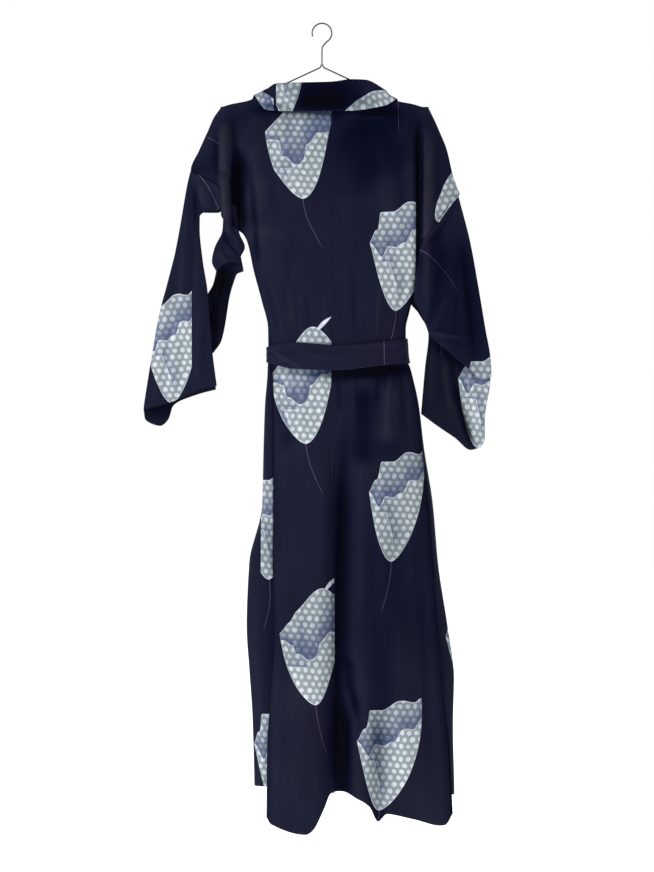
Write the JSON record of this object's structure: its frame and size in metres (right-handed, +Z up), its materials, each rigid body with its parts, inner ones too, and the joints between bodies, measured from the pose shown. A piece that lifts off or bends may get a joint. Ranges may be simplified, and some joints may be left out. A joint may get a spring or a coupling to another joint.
{
  "type": "kimono on a wire hanger",
  "caption": "Long navy crepe kimono with a dotted leaf print, tied with its own sash and hanging closed on a thin wire hanger.",
  "frame": {"origin": "inside top of the hanger's hook, where a rail or peg carries it", "axes": "+Z up, -Y out of the garment's back, +X to the wearer's right"},
  "size_m": [0.7232, 0.1752, 1.6725],
  "materials": {
    "crepe": "matte printed crepe",
    "sash": "matte crepe",
    "wire": "satin painted wire"
  },
  "bodies": {
    "root": {"back_left": "crepe", "back_right": "crepe", "collar_back": "crepe", "collar_left": "crepe", "collar_right": "crepe", "front_left": "crepe", "front_right": "crepe", "okumi_left": "crepe", "okumi_right": "crepe", "sleeve_left_back": "crepe", "sleeve_left_flap": "crepe", "sleeve_left_front": "crepe", "sleeve_left_under": "crepe", "sleeve_right_back": "crepe", "sleeve_right_front": "crepe", "sash_back": "sash", "sash_front": "sash", "sash_knot": "sash", "sash_end_long": "sash", "sash_end_short": "sash", "hanger_arm_left": "wire", "hanger_arm_right": "wire", "hanger_bar": "wire", "hanger_hook": "wire"}
  },
  "joints": []
}
